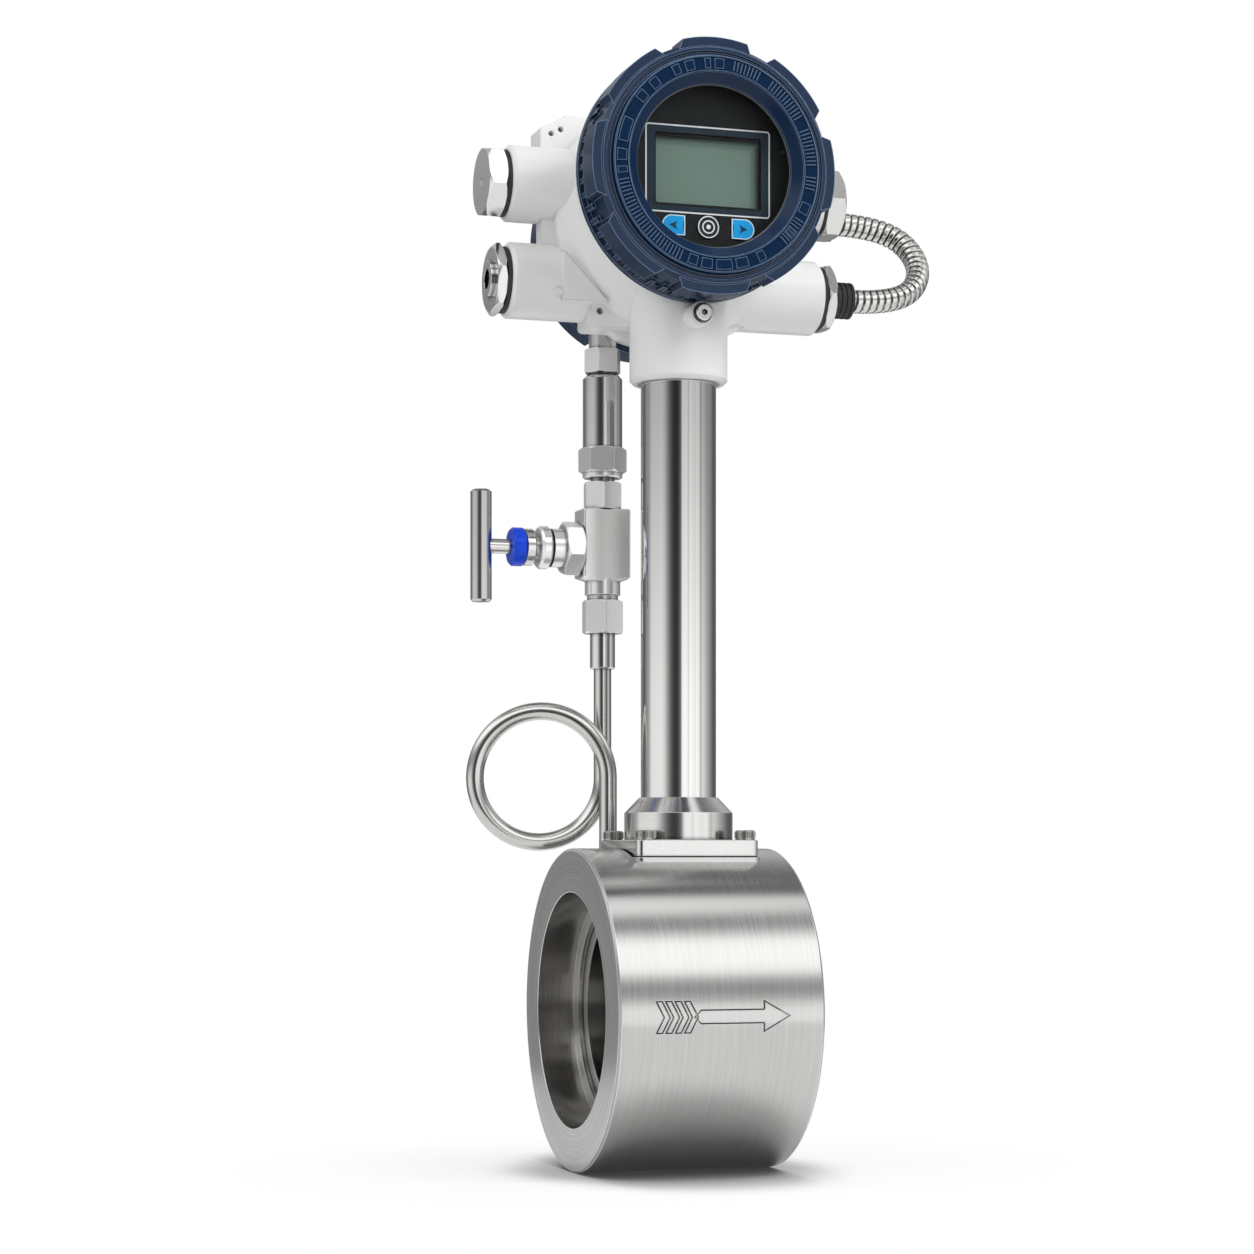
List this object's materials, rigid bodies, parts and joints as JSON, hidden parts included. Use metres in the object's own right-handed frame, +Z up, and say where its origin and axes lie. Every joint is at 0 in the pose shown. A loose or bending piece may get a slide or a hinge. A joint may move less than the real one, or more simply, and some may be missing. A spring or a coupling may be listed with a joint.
{
  "type": "vortex flow meter",
  "caption": "Wafer vortex flow meter: short pipe body with bluff bar, tall stem, display head with screw covers, and a siphon line with needle valve and pressure sensor.",
  "frame": {"origin": "centre of the inlet face, on the pipe axis", "axes": "+X along the flow, +Z up the stem, -Y the side that the display faces"},
  "size_m": [0.2192, 0.1468, 0.489],
  "materials": {
    "steel_brushed": "fine turned and brushed stainless steel",
    "steel_turned": "bright turned stainless steel",
    "plated_bright": "bright nickel plate",
    "screw_steel": "stainless screws",
    "conduit_steel": "shiny stainless hose",
    "housing_white": "white powder coat",
    "cover_blue": "deep navy powder coat",
    "window_glass": "clear tempered glass",
    "rubber_black": "black rubber",
    "gasket_grey": "grey fibre gasket",
    "panel_black": "black panel",
    "lcd_grey_green": "grey green screen",
    "key_blue": "bright blue key",
    "key_black": "black key",
    "board_green": "green circuit board",
    "terminal_grey": "grey terminal block",
    "cap_blue": "bright blue plastic"
  },
  "bodies": {
    "meter": {"meter_body": "steel_brushed", "shedder_bar": "steel_turned", "sensor_probe": "steel_turned", "probe_seal": "rubber_black", "plate_gasket": "gasket_grey", "flange_plate": "steel_turned", "plate_screws": "screw_steel", "stem_tube": "steel_brushed", "head_housing": "housing_white", "display_panel": "panel_black", "lcd_screen": "lcd_grey_green", "display_board": "board_green", "main_board": "board_green", "display_posts": "screw_steel", "terminal_board": "board_green", "terminal_posts": "screw_steel", "terminal_block": "terminal_grey", "upper_left_plug": "plated_bright", "upper_left_seal": "rubber_black", "cable_gland": "plated_bright", "cable_gland_seal": "rubber_black", "upper_right_plug": "plated_bright", "upper_right_seal": "rubber_black", "conduit_gland": "plated_bright", "conduit_gland_seal": "rubber_black", "lower_conduit_sleeve": "rubber_black", "rear_conduit_gland": "plated_bright", "rear_conduit_sleeve": "rubber_black", "conduit": "conduit_steel", "lock_washer": "screw_steel", "lock_screw": "screw_steel", "siphon_tube": "steel_brushed", "tube_ferrule": "steel_turned", "lower_nut": "steel_turned", "valve_body": "steel_turned", "pressure_adapter": "steel_turned", "union_nut": "steel_turned", "pressure_sensor": "steel_turned", "sensor_cap": "steel_turned", "lead_sleeve": "steel_turned", "valve_bonnet": "steel_turned", "packing_nut": "steel_turned", "dust_cap": "cap_blue"},
    "front_ring": {"front_o_ring": "rubber_black"},
    "front_cover": {"front_cover": "cover_blue", "window_gasket": "rubber_black", "window_glass": "window_glass", "window_ring": "cover_blue"},
    "rear_ring": {"rear_o_ring": "rubber_black"},
    "rear_cover": {"rear_cover": "cover_blue"},
    "left_key": {"left_key": "key_blue"},
    "middle_key": {"middle_key": "key_black"},
    "right_key": {"right_key": "key_blue"},
    "needle": {"valve_needle": "steel_turned"},
    "handle": {"valve_stem": "steel_turned", "valve_handle": "plated_bright"}
  },
  "joints": [
    {"name": "front_cover_travel", "type": "slide", "parent": "meter", "child": "front_ring", "axis": [0, -1, 0], "range_m": [0, 0.012]},
    {"name": "front_cover_turn", "type": "hinge", "parent": "front_ring", "child": "front_cover", "pos_m": [0.05, 0, 0.363], "axis": [0, -1, 0], "range_deg": [0, 2160]},
    {"name": "rear_cover_travel", "type": "slide", "parent": "meter", "child": "rear_ring", "axis": [0, 1, 0], "range_m": [0, 0.012]},
    {"name": "rear_cover_turn", "type": "hinge", "parent": "rear_ring", "child": "rear_cover", "pos_m": [0.055, 0, 0.35], "axis": [0, 1, 0], "range_deg": [0, 2160]},
    {"name": "left_key_press", "type": "slide", "parent": "meter", "child": "left_key", "axis": [0, 1, 0], "range_m": [0, 0.0007], "stiffness_N_per_m": 800},
    {"name": "middle_key_press", "type": "slide", "parent": "meter", "child": "middle_key", "axis": [0, 1, 0], "range_m": [0, 0.0007], "stiffness_N_per_m": 800},
    {"name": "right_key_press", "type": "slide", "parent": "meter", "child": "right_key", "axis": [0, 1, 0], "range_m": [0, 0.0007], "stiffness_N_per_m": 800},
    {"name": "needle_travel", "type": "slide", "parent": "meter", "child": "needle", "axis": [-1, 0, 0], "range_m": [0, 0.005]},
    {"name": "valve_handle_turn", "type": "hinge", "parent": "needle", "child": "handle", "pos_m": [0, 0.0425, 0.207], "axis": [-1, 0, 0], "range_deg": [0, 1440]}
  ],
  "couplings": [
    {"joint": "front_cover_travel", "follows": "front_cover_turn", "m_per_rad": 0.0003183},
    {"joint": "rear_cover_travel", "follows": "rear_cover_turn", "m_per_rad": 0.0003183},
    {"joint": "needle_travel", "follows": "valve_handle_turn", "m_per_rad": 0.00019894}
  ]
}
